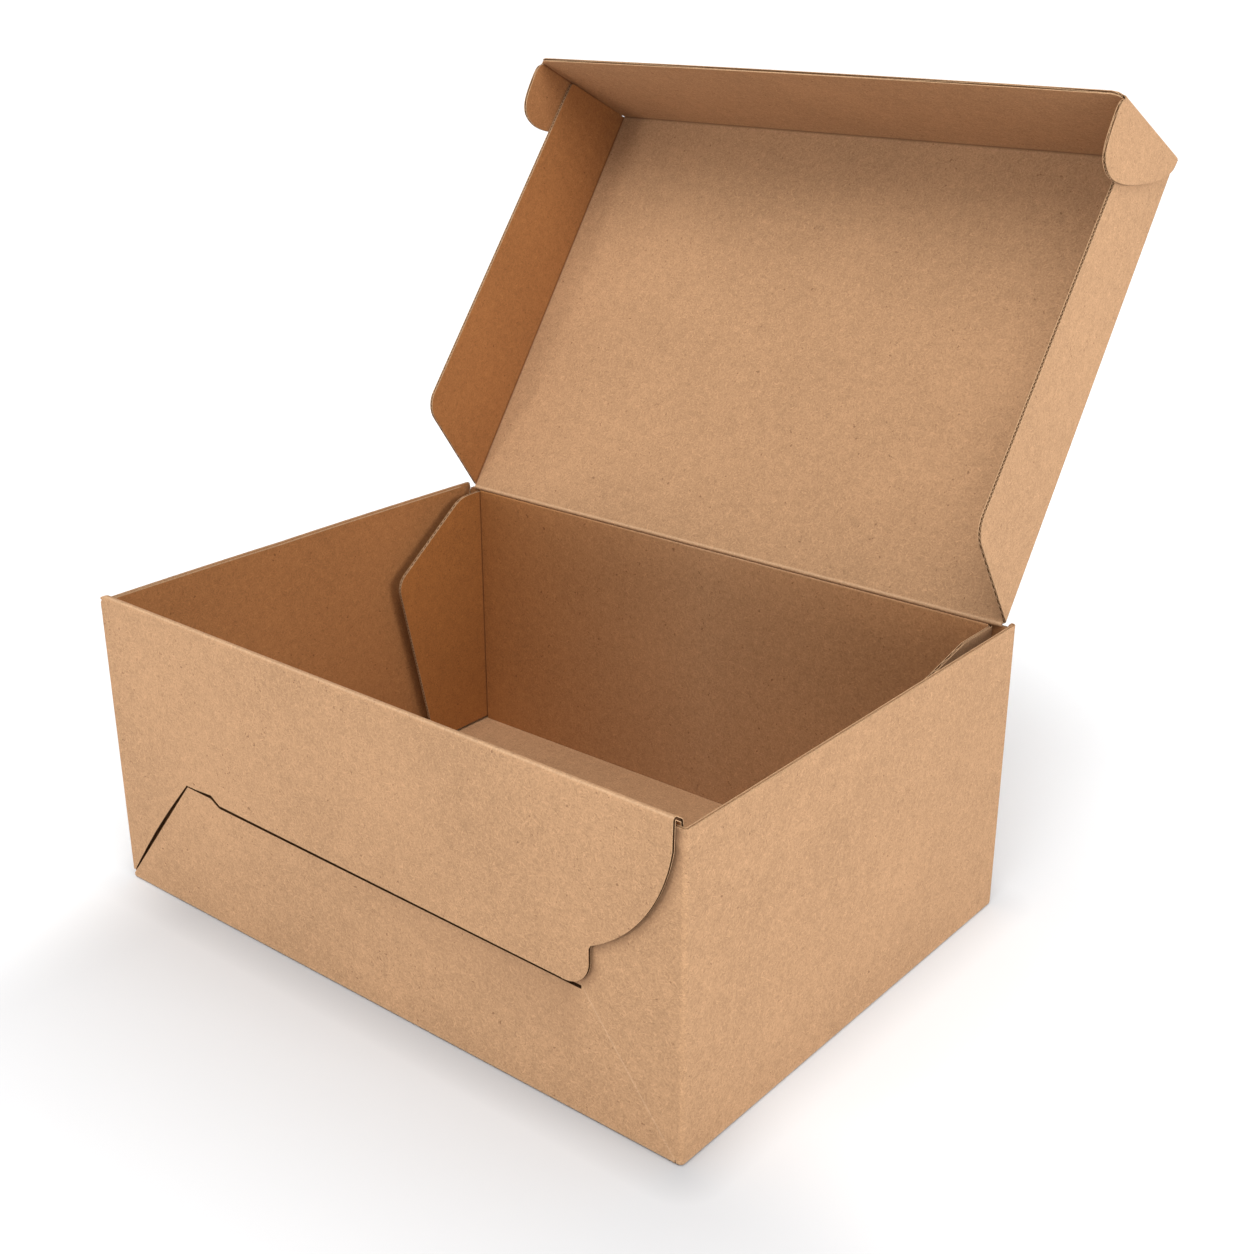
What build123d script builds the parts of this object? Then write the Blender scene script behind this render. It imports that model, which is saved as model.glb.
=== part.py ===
"""Open cardboard box: thin corrugated board, cut and folded into a tray with a hinged lid.

Millimetres, +Z up. The box stands on z = 0, with the origin under the middle of its floor. +X runs along the
front from left to right and +Y from front to back. The places below are measured from the floor's front left
corner, where the outer faces of the front and the left wall meet.
"""

import os
from math import cos, radians, sin

from build123d import *

# The board, and the room between its layers.
board = 1.5  # thickness of the sheet
slip = 0.4  # between layers that slide past each other
fold_gap = 0.3  # at a fold that moves
cut_gap = 0.7  # width of a knife cut once the sheet has sprung open
slant_gap = 1.3  # the same beside the lower panel's slanted end

# The tray, outside.
width = 300.0
depth = 215.0
height = 127.0  # top of the side walls
front_rise = 4.0  # the front's top fold stands this far above the side walls
floor_fold = 1.2  # outer radius of the folds round the floor
left_corner_radius = 1.6
right_corner_radius = 3.2
rear_corner_radius = 1.8
rear_tab = 34.0  # the side walls' tabs, glued behind the back wall
ply_gape = 0.4  # between the left wall's two plies along the top
ply_gape_depth = 3.0
rear_notch_width = 4.0
rear_notch_depth = 7.0

# The front's lower panel, folded up from the floor, and the sheet that runs on from it to the top.
slant_foot_x = 1.5
slant_foot_z = 2.2
lock_apex_x = 46.5
lock_apex_z = 58.6
lock_step_x = 61.0  # where the raised end drops to the long edge
lock_step_run = 4.5
lock_line_left_z = 56.0
lock_line_right_z = 52.8
lock_end_in = 43.0  # the cut's end, from the tray's right side
hidden_edge_in = 60.0  # the sheet's edge behind the outer panel, from the right side

# The front's outer panel, folded down over it. Its right end is measured from the tray's right side.
outer_panel_in = 1.6
outer_panel_turn = 0.41  # degrees: flush at the left, and over the sheet at the right
step_wedge = 2.0  # the panel's edge opens from the lower panel beside the step
bulge_top_drop = 12.0  # below the front's top
bulge_middle_in = 15.4
bulge_middle_z = 89.5
bulge_foot_in = 35.2
bulge_foot_z = 73.2
notch_top_z = 69.8
lug_end_in = 38.3
lug_round_z = 64.3
lug_flat_in = 51.0
lug_bottom_z = 54.3
top_corner_radius = 2.5

# The inner front layer, folded down behind the sheet.
inner_layer_set = 3.75  # its face, from the outer panel's face
inner_layer_start = 4.2
inner_layer_in = 3.6  # from the tray's right side
inner_bend_drop = 1.9

# The dust flaps, folded forward from the ends of the back wall.
dust_flap_inset = 10.7  # of the flap's inner face, from the tray's side
dust_flap_top_drop = 2.4
dust_flap_foot = 3.0
dust_flap_reach = 57.0
left_flap_flat = 13.0  # the level part of its top edge
left_flap_tip_drop = 32.6  # from its top to its tip
right_flap_flat = 22.0
right_flap_tip_drop = 7.6
dust_flap_toe = 38.0
dust_flap_tip_radius = 9.0
dust_flap_toe_radius = 8.0

# The lid. Closed is 0 degrees.
lid_open_angle = 125.0
lid_length = 205.5  # from the hinge line to the lip's outer face
lid_fold = 1.2  # outer radius of the lid's folds
lip_height = 70.0
lip_lean = 9.0  # degrees past square towards the hinge, so that the lip passes the front's top fold
lip_corner_radius = 3.5
side_flap_front = 44.0
side_flap_rear = 51.0
side_flap_bevel = 21.0
side_flap_rear_radius = 11.0
side_flap_front_radius = 2.0
side_flap_room = 0.7  # between a side flap's front end and the lip
ear_root = 3.0
ear_reach = 31.0
ear_shoulder = 57.0  # along the lip's end, where the ear reaches furthest
ear_end_radius = 12.0

# Places worked out from the sizes above.
front_top = height + front_rise
back_top = height - board - fold_gap
outer_panel_end = width - outer_panel_in
inner_layer_end = width - inner_layer_in
lock_end_x = width - lock_end_in
hidden_edge_x = width - hidden_edge_in
bulge_top_z = front_top - bulge_top_drop
bulge_middle_x = width - bulge_middle_in
bulge_foot_x = width - bulge_foot_in
lug_end_x = width - lug_end_in
lug_flat_x = width - lug_flat_in
hinge_y = depth - 1.5 * board
hinge_z = height - board / 2
left_wall = 2 * board + ply_gape
ear_left = left_wall + slip
ear_right = width - board - slip
lid_left = ear_left + board + slip
lid_right = ear_right - board - slip
dust_hinge_y = depth - 2 * board
dust_fold_radius = board - fold_gap
past = 1.0  # how far a cutting shape runs past what it cuts

corner = Vector(-width / 2, -depth / 2, 0)
floor_plane = Plane(origin=corner)
front_plane = Plane(origin=corner, x_dir=(1, 0, 0), z_dir=(0, -1, 0))
across = Vector(1, 0, 0)
lid_along = Vector(0, -cos(radians(lid_open_angle)), sin(radians(lid_open_angle)))
lid_inward = Vector(0, -sin(radians(lid_open_angle)), -cos(radians(lid_open_angle)))
lip_down = lid_inward * cos(radians(lip_lean)) - lid_along * sin(radians(lip_lean))
lip_back = lip_down.cross(across) * -1
hinge = corner + Vector(0, hinge_y, hinge_z)
lip_root = hinge + lid_along * lid_length - lid_inward * (board / 2)

turn = radians(outer_panel_turn)
outer_panel_plane = Plane(
    origin=corner, x_dir=(cos(turn), -sin(turn), 0), z_dir=(-sin(turn), -cos(turn), 0)
)
front_section_plane = Plane(
    origin=corner, x_dir=(sin(turn), cos(turn), 0), z_dir=(cos(turn), -sin(turn), 0)
)


def corner_waste(plane, radius):
    """What is cut off a square outer corner at the plane's origin, to leave a fold of that radius."""
    near = radius * (1 - cos(radians(45)))
    with BuildSketch(plane) as waste:
        with BuildLine():
            Polyline((0, radius), (-past, radius), (-past, -past), (radius, -past), (radius, 0))
            ThreePointArc((radius, 0), (near, near), (0, radius))
        make_face()
    return waste.sketch


def beside_lip(inward):
    """A point of a side flap's front end, at a distance inward from the lid's panel, as (along, inward)."""
    lean = radians(lip_lean)
    away = board + side_flap_room
    down = (inward + board / 2 + away * sin(lean)) / cos(lean)
    return (lid_length - down * sin(lean) - away * cos(lean), inward)


# The tray: the floor, the four walls with their glued tabs, and the locked front.
with BuildPart() as tray:
    with BuildSketch(floor_plane) as footprint:
        Rectangle(width, depth, align=Align.MIN)
        front_corners = footprint.vertices().group_by(Axis.Y)[0].sort_by(Axis.X)
        rear_corners = footprint.vertices().group_by(Axis.Y)[-1]
        fillet(front_corners[0], left_corner_radius)
        fillet(front_corners[-1], right_corner_radius)
        fillet(rear_corners, rear_corner_radius)
    extrude(amount=height)
    fillet(tray.faces().sort_by(Axis.Z)[0].edges(), floor_fold)
    with BuildSketch(floor_plane.offset(board)) as hollow:
        with Locations((board, board)):
            Rectangle(width - 2 * board, depth - 2 * board, align=Align.MIN)
        inner_right = hollow.vertices().group_by(Axis.Y)[0].sort_by(Axis.X)[-1]
        fillet(inner_right, right_corner_radius - board)
    extrude(amount=height, mode=Mode.SUBTRACT)

    # Behind the back wall only the glued tabs are left, with the notch beside the left one.
    with BuildSketch(front_plane.offset(-depth)):
        with Locations((rear_tab, -past)):
            Rectangle(width - 2 * rear_tab, height + 2 * past, align=Align.MIN)
        with Locations((left_wall, back_top)):
            Rectangle(width - 2 * left_wall, height, align=Align.MIN)
        with BuildLine():
            Polyline(
                (left_wall, back_top),
                (left_wall + rear_notch_width / 2, back_top - rear_notch_depth),
                (left_wall + rear_notch_width, back_top),
                close=True,
            )
        make_face()
    extrude(amount=board, mode=Mode.SUBTRACT)
    with BuildSketch(floor_plane):
        with Locations((dust_flap_inset + fold_gap, depth - 2 * board)):
            Rectangle(width - 2 * (dust_flap_inset + fold_gap), board, align=Align.MIN)
    extrude(amount=back_top)
    rear_fold_plane = Plane(
        origin=corner + Vector(rear_tab, depth - board, 0), x_dir=(0, -1, 0), z_dir=(-1, 0, 0)
    )
    extrude(corner_waste(rear_fold_plane, floor_fold), amount=rear_tab * 2 - width, mode=Mode.SUBTRACT)

    # The left wall's inner ply, which gapes from the outer one along the top.
    with BuildSketch(floor_plane.offset(board / 2)):
        with Locations((board / 2, board)):
            Rectangle(left_wall - board / 2, depth - 4 * board, align=Align.MIN)
    extrude(amount=height - board / 2)
    with BuildSketch(floor_plane.offset(height)):
        with Locations((board, board)):
            Rectangle(ply_gape, depth - 3 * board, align=Align.MIN)
    extrude(amount=-ply_gape_depth, mode=Mode.SUBTRACT)

    # The front's own sheet is cut away above the lower panel, as far as its edge behind the outer panel.
    with BuildSketch(front_plane):
        with BuildLine():
            Polyline(
                (slant_foot_x, height + past),
                (slant_foot_x, slant_foot_z),
                (lock_apex_x, lock_apex_z),
                (lock_step_x, lock_apex_z),
                (lock_step_x + lock_step_run, lock_line_left_z),
                (lock_end_x, lock_line_right_z),
                (lock_end_x, lock_line_right_z + cut_gap),
                (hidden_edge_x, lock_line_right_z + cut_gap),
                (hidden_edge_x, height + past),
                close=True,
            )
        make_face()
    extrude(amount=-board, mode=Mode.SUBTRACT)

    # The outer panel, with its bulged end and the lug that lies over the sheet.
    slant = Vector(lock_apex_x - slant_foot_x, lock_apex_z - slant_foot_z).normalized()
    panel_foot = Vector(slant_foot_x - slant_gap * slant.Y, slant_foot_z + slant_gap * slant.X)
    panel_apex = Vector(lock_apex_x - slant_gap * slant.Y, lock_apex_z + slant_gap * slant.X)
    with BuildSketch(outer_panel_plane):
        with BuildLine():
            Polyline(
                (lug_flat_x, lug_bottom_z),
                (lock_step_x + lock_step_run + step_wedge, lock_line_left_z + cut_gap),
                (lock_step_x, lock_apex_z + cut_gap),
                (panel_apex.X + cut_gap, lock_apex_z + cut_gap),
                (panel_apex.X, panel_apex.Y),
                (panel_foot.X, panel_foot.Y),
                (0, panel_foot.Y),
                (0, front_top - board),
                (outer_panel_end, front_top - board),
                (outer_panel_end, bulge_top_z),
            )
            ThreePointArc(
                (outer_panel_end, bulge_top_z),
                (bulge_middle_x, bulge_middle_z),
                (bulge_foot_x, bulge_foot_z),
            )
            Polyline(
                (bulge_foot_x, bulge_foot_z),
                (lug_end_x + cut_gap, bulge_foot_z - board),
                (lug_end_x, notch_top_z),
                (lug_end_x, lug_round_z),
            )
            TangentArc((lug_end_x, lug_round_z), (lug_flat_x, lug_bottom_z), tangent=(0, -1))
        make_face()
    extrude(amount=-board)

    # The top fold, and the inner layer that comes down from it behind the sheet.
    with BuildSketch(front_section_plane):
        with BuildLine():
            Polyline(
                (0, front_top - board),
                (0, front_top - 2 * board),
                (board, front_top - 2 * board),
                (board, front_top - inner_bend_drop),
                (2 * board, front_top - board),
            )
            ThreePointArc((2 * board, front_top - board), (board, front_top), (0, front_top - board))
        make_face()
    extrude(amount=outer_panel_end)
    with BuildSketch(front_section_plane.offset(inner_layer_start)):
        with BuildLine():
            Polyline(
                (board, front_top - inner_bend_drop),
                (inner_layer_set, height + fold_gap),
                (inner_layer_set, board / 2),
                (inner_layer_set + board, board / 2),
                (inner_layer_set + board, height + 3 * fold_gap),
                (2 * board, front_top - board),
                close=True,
            )
        make_face()
    extrude(amount=inner_layer_end - inner_layer_start)

    # The front left corner is a tight fold up the whole height, rounded off at the top.
    left_fold_plane = floor_plane.offset(floor_fold)
    extrude(corner_waste(left_fold_plane, left_corner_radius), amount=front_top, mode=Mode.SUBTRACT)
    top_corner_plane = Plane(origin=corner + Vector(0, -past, front_top), x_dir=(1, 0, 0), z_dir=(0, 1, 0))
    extrude(corner_waste(top_corner_plane, top_corner_radius), amount=4 * board, mode=Mode.SUBTRACT)
tray.part.label = "tray"


# The dust flaps: each hangs by a fold on one end of the back wall.
dust_flap_plane = Plane(
    origin=corner + Vector(dust_flap_inset, dust_hinge_y, 0), x_dir=(0, -1, 0), z_dir=(-1, 0, 0)
)
dust_flap_top = height - dust_flap_top_drop


def dust_flap(flat, tip_drop):
    """A dust flap at the left end of the back wall, with the shape of its top edge."""
    with BuildPart() as flap:
        with BuildSketch(dust_flap_plane) as flap_outline:
            with BuildLine():
                Polyline(
                    (-dust_fold_radius, dust_flap_foot),
                    (dust_flap_toe, dust_flap_foot),
                    (dust_flap_reach, dust_flap_top - tip_drop),
                    (flat, dust_flap_top),
                    (-dust_fold_radius, dust_flap_top),
                    close=True,
                )
            make_face()
            fillet(flap_outline.vertices().sort_by(Axis.X)[-1], dust_flap_tip_radius)
            fillet(flap_outline.vertices().group_by(Axis.Y)[0].sort_by(Axis.X)[-1], dust_flap_toe_radius)
        extrude(amount=board)
        rear_edges = flap.edges().filter_by(Axis.Z).group_by(Axis.Y)[-1]
        fillet(rear_edges.sort_by(Axis.X)[0], dust_fold_radius)
    return flap.part


with BuildPart() as left_dust_flap:
    add(dust_flap(left_flap_flat, left_flap_tip_drop))
left_dust_flap.part.label = "left_dust_flap"

with BuildPart() as right_dust_flap:
    mirror(dust_flap(right_flap_flat, right_flap_tip_drop), about=Plane.YZ)
right_dust_flap.part.label = "right_dust_flap"

# The lid: its panel, two side flaps, the front lip, and the lip's two ears folded back outside the flaps.
side_plane = Plane(origin=hinge, x_dir=lid_along, z_dir=across)
with BuildPart() as lid:
    with BuildSketch(side_plane.offset(lid_left)):
        Rectangle(lid_length, board, align=(Align.MIN, Align.CENTER))
        Circle(board / 2)
    extrude(amount=lid_right - lid_left)
    for flap_x in (lid_left, lid_right - board):
        with BuildSketch(side_plane.offset(flap_x)) as side_flap:
            with BuildLine():
                Polyline(
                    (0, 0),
                    (side_flap_bevel, side_flap_rear),
                    beside_lip(side_flap_front),
                    beside_lip(0),
                    close=True,
                )
            make_face()
            free_corners = side_flap.vertices().sort_by(Axis.Y)[-2:].sort_by(Axis.X)
            fillet(free_corners[0], side_flap_rear_radius)
            fillet(side_flap.vertices().sort_by(Axis.X)[-2:].sort_by(Axis.Y)[-1], side_flap_front_radius)
        extrude(amount=board)
    lip_plane = Plane(origin=lip_root, x_dir=across, z_dir=lip_back)
    with BuildSketch(lip_plane) as lip:
        with Locations((lid_left, 0)):
            Rectangle(lid_right - lid_left, lip_height, align=Align.MIN)
        with Locations((ear_left, ear_root)):
            Rectangle(ear_right - ear_left, lip_height - ear_root, align=Align.MIN)
        fillet(lip.vertices().group_by(Axis.Y)[-1], lip_corner_radius)
    extrude(amount=board)
    for ear_x in (ear_left, ear_right - board):
        ear_plane = Plane(origin=lip_root + across * ear_x, x_dir=lip_down, z_dir=across)
        with BuildSketch(ear_plane):
            with BuildLine():
                ThreePointArc(
                    (ear_root, 0),
                    (ear_shoulder * 0.45, ear_reach * 0.74),
                    (ear_shoulder, ear_reach),
                )
                ThreePointArc(
                    (ear_shoulder, ear_reach),
                    (lip_height - ear_end_radius * 0.1, ear_reach - ear_end_radius * 0.75),
                    (lip_height, ear_end_radius * 0.6),
                )
                Polyline(
                    (lip_height, ear_end_radius * 0.6),
                    (lip_height - lip_corner_radius, 0),
                    (ear_root, 0),
                )
            make_face()
        extrude(amount=board)
    # The folds' rounded outer corners: the lip's, the side flaps' and the ears'.
    lip_fold_plane = Plane(
        origin=lip_root + across * (ear_left - past), x_dir=lid_along * -1, z_dir=across * -1
    )
    extrude(
        corner_waste(lip_fold_plane, lid_fold),
        amount=-(ear_right - ear_left + 2 * past),
        mode=Mode.SUBTRACT,
    )
    for edge_x, side in ((lid_left, 1), (lid_right, -1)):
        flap_fold_plane = Plane(
            origin=hinge + across * edge_x - lid_inward * (board / 2) - lid_along * board,
            x_dir=across * side,
            z_dir=lid_along * -side,
        )
        extrude(
            corner_waste(flap_fold_plane, lid_fold),
            amount=-side * (lid_length + board + past),
            mode=Mode.SUBTRACT,
        )
    for edge_x, side in ((ear_left, 1), (ear_right, -1)):
        ear_fold_plane = Plane(
            origin=lip_root + across * edge_x, x_dir=across * side, z_dir=lip_down * -side
        )
        extrude(
            corner_waste(ear_fold_plane, lid_fold),
            amount=-side * (lip_height + past),
            mode=Mode.SUBTRACT,
        )
lid.part.label = "lid"

os.makedirs("parts", exist_ok=True)
export_step(tray.part, "parts/tray.step")
export_step(left_dust_flap.part, "parts/left_dust_flap.step")
export_step(right_dust_flap.part, "parts/right_dust_flap.step")
export_step(lid.part, "parts/lid.step")
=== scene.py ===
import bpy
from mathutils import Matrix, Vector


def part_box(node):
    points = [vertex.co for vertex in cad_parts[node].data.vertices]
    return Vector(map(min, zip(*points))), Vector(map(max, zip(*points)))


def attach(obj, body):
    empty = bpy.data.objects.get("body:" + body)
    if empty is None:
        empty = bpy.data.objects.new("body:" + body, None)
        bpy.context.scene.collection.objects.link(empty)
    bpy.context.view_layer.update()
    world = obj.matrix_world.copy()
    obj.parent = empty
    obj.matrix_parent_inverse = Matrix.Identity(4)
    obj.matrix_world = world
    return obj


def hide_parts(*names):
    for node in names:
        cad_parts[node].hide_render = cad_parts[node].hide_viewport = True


bl_info = {
    "name": "Tuck-Front Mailer Box",
    "version": (1, 0, 0),
    "blender": (4, 5, 0),
    "location": "3D View > Sidebar > Mailer Box",
    "description": "Folds thin corrugated board into an open mailer box around its CAD frame",
    "category": "Add Mesh",
}

from math import asin, cos, pi, radians, sin, sqrt, tan

import bmesh
import bpy
from mathutils import Vector

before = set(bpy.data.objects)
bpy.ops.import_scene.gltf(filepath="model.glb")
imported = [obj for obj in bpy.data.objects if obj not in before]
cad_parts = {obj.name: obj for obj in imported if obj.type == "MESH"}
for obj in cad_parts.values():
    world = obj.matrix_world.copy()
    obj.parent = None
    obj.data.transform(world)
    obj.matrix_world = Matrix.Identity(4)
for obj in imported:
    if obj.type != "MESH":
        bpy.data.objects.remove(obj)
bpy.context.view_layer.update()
tray_low, tray_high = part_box("tray")

# Sizes in millimetres, as the CAD has them, measured from the floor's front left corner.
WIDTH = round((tray_high[0] - tray_low[0]) * 1000, 3)
DEPTH = round(tray_high[1] * 2000, 3)
FRONT_TOP = round(tray_high[2] * 1000, 3)
HEIGHT = 127.0
BOARD = 1.5
BACK_TOP = 125.2
HINGE_Y = DEPTH - 1.5 * BOARD
HINGE_Z = HEIGHT - BOARD / 2
FLOOR_FOLD = 1.2
LEFT_CORNER = 1.6
RIGHT_CORNER = 2.0
REAR_CORNER = 1.8
REAR_TAB = 34.0
LEFT_WALL = 3.4
PANEL_END = 298.4
PANEL_TOP_END = 296.2
PANEL_TURN = radians(0.41)
LOCK_FOOT = Vector((1.5, 2.2))
LOCK_APEX = Vector((46.7, 58.7))
CUT_END = Vector((257.1, 53.2))
INNER_LAYER = 5.25
DUST_INSET = 10.7
DUST_TOP = HEIGHT - 2.4
DUST_FOOT = 3.0
EAR_LEFT = 3.8
EAR_RIGHT = 298.1
LID_LEFT = 5.7
LID_RIGHT = 296.2
LID_LENGTH = 205.5
LID_ANGLE = radians(125.0)
LIP_HEIGHT = 70.0
LIP_LEAN = radians(9.0)
HINGE_BEAD = 0.98

RIGHT = Vector((1, 0, 0))
UP = Vector((0, 0, 1))
LID_ALONG = Vector((0, -cos(LID_ANGLE), sin(LID_ANGLE)))
LID_INWARD = Vector((0, -sin(LID_ANGLE), -cos(LID_ANGLE)))
LIP_DOWN = LID_INWARD * cos(LIP_LEAN) - LID_ALONG * sin(LIP_LEAN)
LIP_BACK = -(LID_ALONG * cos(LIP_LEAN) + LID_INWARD * sin(LIP_LEAN))
HINGE = Vector((0, HINGE_Y, HINGE_Z))
LIP_ROOT = HINGE + LID_ALONG * LID_LENGTH - LID_INWARD * (BOARD / 2)

# The studio, in metres.
SUN_WIDTH = radians(46)
SIDE_LAMP_AT = (1.55, -0.05, 0.62)
FRONT_LAMP_AT = (-0.60, -1.75, 0.17)
LAMPS_AIM = Vector((0, 0, 0.08))
FLOOR_REACH = 45.0

# How a cut edge is finished: its two liner edges, and what lies between them. Only an open one shows flutes.
# All but the plain one have painted shade in their middle, the last one throughout.
OPEN, PLAIN, SHADED_MIDDLE, ALL_SHADED = (1, 2), (1, 1), (1, 3), (3, 3)

boards = {}


def number(name, description, default, **kind):
    return bpy.props.FloatProperty(name=name, description=description, default=default, **kind)


def triple(name, description, default, subtype):
    return bpy.props.FloatVectorProperty(
        name=name, description=description, default=default, subtype=subtype, size=3
    )


def metres(name, description, default):
    return number(name, description, default, unit="LENGTH", precision=5)


class BoxBoardSettings(bpy.types.PropertyGroup):
    """How the corrugated board is made and how it sits."""

    liner: metres("Liner", "Thickness of each facing paper", 0.0003)
    flute_pitch: metres("Flute pitch", "Distance from one flute to the next", 0.0017)
    flute_paper: metres("Flute paper", "Thickness of the fluted paper", 0.0002)
    channel: metres("Channel", "How deep a cut edge opens between the facing papers", 0.0006)
    fold_radius: metres("Fold radius", "Outer radius of the lid's folds", 0.00165)
    wall_bow: metres("Wall bow", "How far the left wall bows outwards at its top", 0.0024)
    lip_bow: metres("Lip bow", "How far the middle of the lip's free edge stands out", 0.0016)


class BoxKraftColours(bpy.types.PropertyGroup):
    """Colours of the unbleached paper."""

    light: triple("Light fibres", "Lightest tone of the facing paper", (0.500, 0.290, 0.153), "COLOR")
    dark: triple("Dark fibres", "Darkest tone of the facing paper", (0.286, 0.163, 0.084), "COLOR")
    # Painted shade: multiplied into the inner faces, by each sheet's own amount, to darken and warm them.
    inside: triple("Inside", "Tint of the facing paper inside the box", (0.76, 0.50, 0.24), "COLOR")
    # Real specks, and the same colour paints shade in the folds' inner corners, at the hinge and under the
    # front panel's end.
    fleck_and_shade: triple("Flecks", "Specks of bark and dark fibre", (0.200, 0.100, 0.050), "COLOR")
    # Scuffing along the folds, which also stands for a painted highlight there.
    scuff_and_highlight: triple("Scuffed fold", "Stretched paper along the folds", (0.720, 0.500, 0.320), "COLOR")
    edge: triple("Cut edge", "Raw edge of the facing paper", (0.600, 0.380, 0.215), "COLOR")
    # Painted shade for the deep flute channels behind the flutes.
    core: triple("Core", "Inside of the board, between its facing papers", (0.130, 0.066, 0.031), "COLOR")
    # Painted shade in the front's cuts and along the outer panel's cut edges.
    slit_shade: triple("Slit", "Crushed edge inside the front's cuts", (0.060, 0.028, 0.012), "COLOR")


class BoxStudioSettings(bpy.types.PropertyGroup):
    """The camera and the soft studio light."""

    azimuth: number("Azimuth", "Camera's turn round the box", radians(39.12), subtype="ANGLE")
    elevation: number("Elevation", "Camera's height angle", radians(22.18), subtype="ANGLE")
    distance: metres("Distance", "Camera's distance from its target", 0.7656)
    lens: number("Lens", "Focal length in millimetres", 48.77)
    target: triple("Target", "Point that the camera looks at", (-0.0249, 0.0788, 0.0900), "TRANSLATION")
    sky: number("Sky", "Strength of the even light", 0.58)
    side: number("Side", "Power of the low lamp on the right", 11.8)
    front: number("Front", "Power of the low lamp in front", 9.0)
    sun: number("Sun", "Strength of the broad light overhead", 2.2)
    sun_from: triple("Sun from", "Where the broad light comes from", (0.25, -0.42, 0.87), "DIRECTION")


class Route:
    """A folded line seen from its end: straight runs and bends to one side, read by the length along it."""

    def __init__(self, start, steps):
        self.parts = []
        self.bends = []
        at, heading, length = Vector(start), 0.0, 0.0
        for kind, amount, radius in steps:
            size = amount * radius if kind == "bend" else amount
            self.parts.append((kind, length, size, at.copy(), heading, radius))
            if kind == "bend":
                self.bends.append((length, length + size))
            at, heading = self._ahead(self.parts[-1], size)
            length += size
        self.length = length

    @staticmethod
    def _ahead(part, by):
        kind, _, _, at, heading, radius = part
        if kind == "run":
            return at + Vector((cos(heading), sin(heading))) * by, heading
        turned = heading + by / radius
        return at + Vector((sin(turned) - sin(heading), cos(heading) - cos(turned))) * radius, turned

    def at(self, length, inwards):
        part = self.parts[0]
        for later in self.parts[1:]:
            if length >= later[1] - 1e-6:
                part = later
        point, heading = self._ahead(part, length - part[1])
        return point + Vector((-sin(heading), cos(heading))) * inwards

    def splits(self, steps=8, support=1.0):
        """Where the sheet has to be divided so that its bends come out round and stay narrow."""
        found = []
        for start, end in self.bends:
            found += [start + (end - start) * i / steps for i in range(steps + 1)]
            found += [start - support, end + support]
        return found

    def crease(self, length):
        """How strongly the nearest fold is marked, from 0 to 1 along its middle: scuffing with a painted
        highlight.
        """
        return max(near(length, (start + end) / 2, 0.45 + (end - start) * 0.18) for start, end in self.bends)

    def pinch(self, length):
        """Painted shade in the inside corner of the folds, where the bend itself is hardly any length."""
        return max(near(length, min(max(length, start), end), 0.6) for start, end in self.bends)


def near(value, line, reach):
    """1 on a line, falling to 0 at reach from it."""
    return max(1.0 - abs(value - line) / reach, 0.0)


def run(length):
    return ("run", length, 0.0)


def bend(degrees, radius):
    return ("bend", radians(degrees), radius)


def rounded(points, steps=7):
    """An outline whose corners are rounded. Each point is (a, b) or (a, b, radius)."""
    line = []
    for i, point in enumerate(points):
        here = Vector(point[:2])
        if len(point) == 2:
            line.append(here)
            continue
        before = (Vector(points[i - 1][:2]) - here).normalized()
        after = (Vector(points[(i + 1) % len(points)][:2]) - here).normalized()
        half = before.angle(after) / 2
        reach = point[2] / tan(half)
        centre = here + (before + after).normalized() * (point[2] / sin(half))
        first, last = here + before * reach - centre, here + after * reach - centre
        for step in range(steps + 1):
            mixed = first.lerp(last, step / steps).normalized() * point[2]
            line.append(centre + mixed)
    return line


def smooth(points, steps=5):
    """A smooth line through the points."""
    line = []
    for i in range(len(points) - 1):
        before = Vector(points[max(i - 1, 0)])
        start, end = Vector(points[i]), Vector(points[i + 1])
        after = Vector(points[min(i + 2, len(points) - 1)])
        for step in range(steps):
            k = step / steps
            line.append(
                0.5 * (2 * start + (end - before) * k + (2 * before - 5 * start + 4 * end - after) * k * k
                       + (3 * start - before - 3 * end + after) * k ** 3)
            )
    line.append(Vector(points[-1]))
    return line


def arc_through(start, middle, end, steps=16):
    """Points of the circle arc through three points."""
    a, b, c = Vector(start), Vector(middle), Vector(end)
    twice = 2 * (a.x * (b.y - c.y) + b.x * (c.y - a.y) + c.x * (a.y - b.y))
    aa, bb, cc = a.length_squared, b.length_squared, c.length_squared
    centre = Vector((
        (aa * (b.y - c.y) + bb * (c.y - a.y) + cc * (a.y - b.y)) / twice,
        (aa * (c.x - b.x) + bb * (a.x - c.x) + cc * (b.x - a.x)) / twice,
    ))
    line = []
    for first, last in ((a, b), (b, c)):
        for step in range(steps // 2):
            mixed = (first - centre).lerp(last - centre, step / (steps // 2))
            line.append(centre + mixed.normalized() * (a - centre).length)
    return line + [c]


def steps_between(low, high, size):
    count = max(1, round((high - low) / size))
    return [low + (high - low) * i / count for i in range(1, count)]


def always(value):
    return lambda a, b: value


def along_sheet(a, b):
    return a


def across_sheet(a, b):
    return b


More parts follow.
